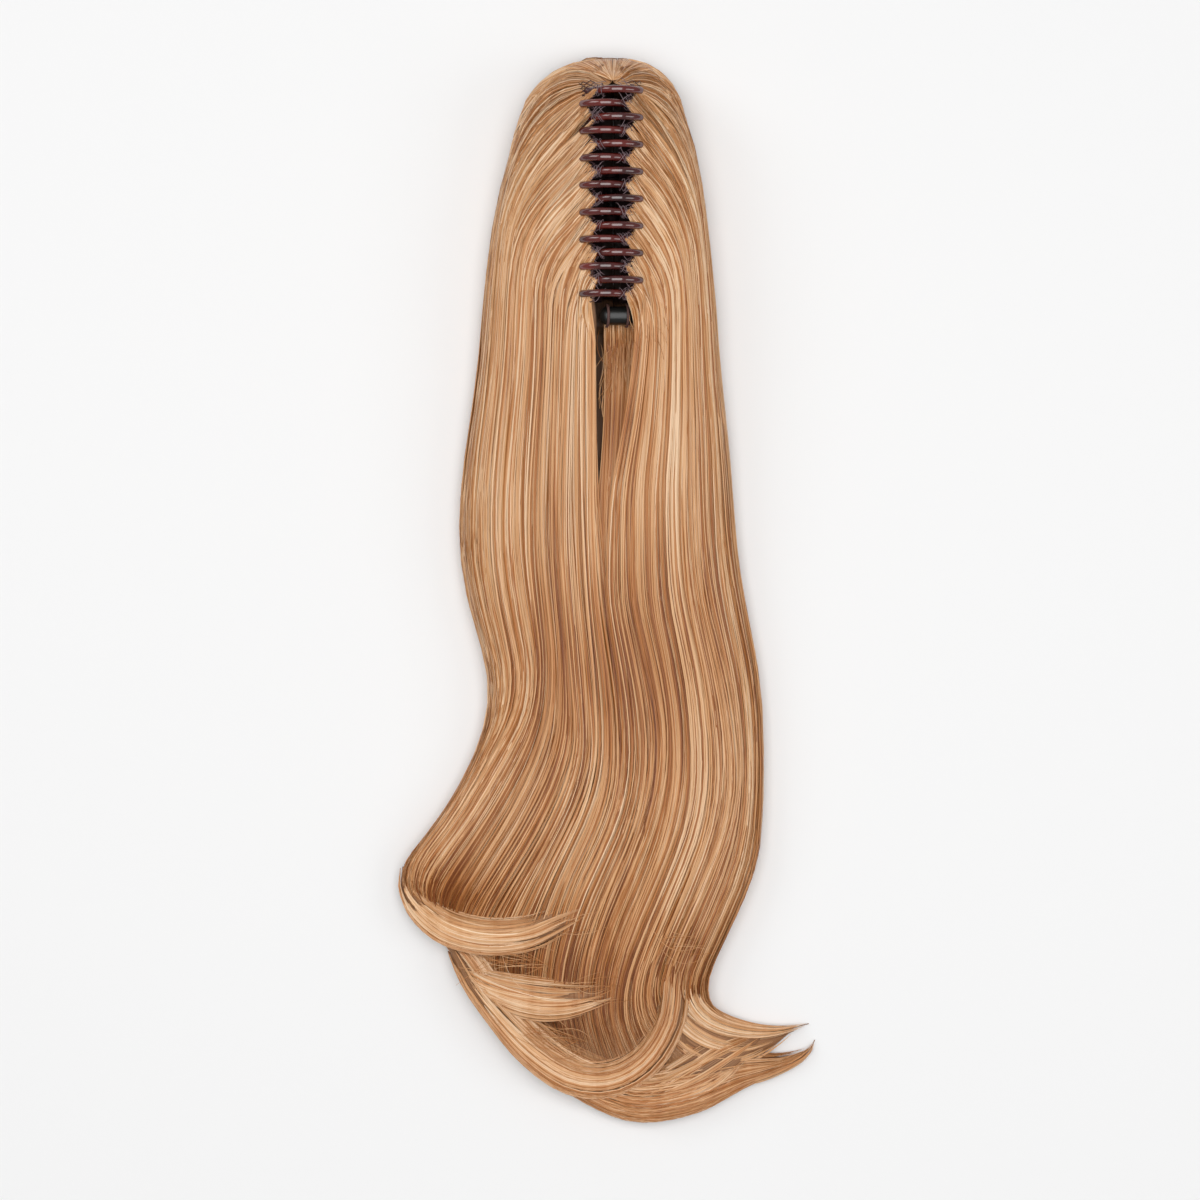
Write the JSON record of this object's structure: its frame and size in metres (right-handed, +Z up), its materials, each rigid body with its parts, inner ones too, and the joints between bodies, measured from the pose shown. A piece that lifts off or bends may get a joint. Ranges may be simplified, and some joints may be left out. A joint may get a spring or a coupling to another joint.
{
  "type": "ponytail hairpiece with a claw",
  "caption": "Long wavy clip-in ponytail on a sprung claw with toothed jaws, lying on its back with the teeth up.",
  "frame": {"origin": "middle of the footprint, on the surface that the piece lies on", "axes": "+Y from the curled ends to the crown, +Z up out of the teeth, +X to the side of the flicked tips"},
  "size_m": [0.2075, 0.5308, 0.055],
  "materials": {
    "hair": "silky honey-blond fibre",
    "claw": "polished translucent dark burgundy",
    "net": "dark crocheted thread",
    "cap": "polished black",
    "thread": "matt brown thread",
    "steel": "plain wire"
  },
  "bodies": {
    "root": {"right_jaw": "claw", "right_net": "net", "hinge_pin": "steel", "hinge_spring": "steel", "end_cap": "cap", "upper_thread_loop": "thread", "lower_thread_loop": "thread", "left_hair": "hair", "right_hair": "hair", "upper_curl": "hair", "lower_curl": "hair", "bottom_sweep": "hair", "upper_flick": "hair", "lower_flick": "hair"},
    "left_jaw": {"left_jaw": "claw", "left_net": "net"}
  },
  "joints": [
    {"name": "claw_hinge", "type": "hinge", "parent": "root", "child": "left_jaw", "pos_m": [0, 0.195, 0.024], "axis": [0, -1, 0], "range_deg": [0, 50], "stiffness_Nm_per_rad": 0.08, "springref_deg": -45.84, "deforming": ["left_hair"]}
  ]
}
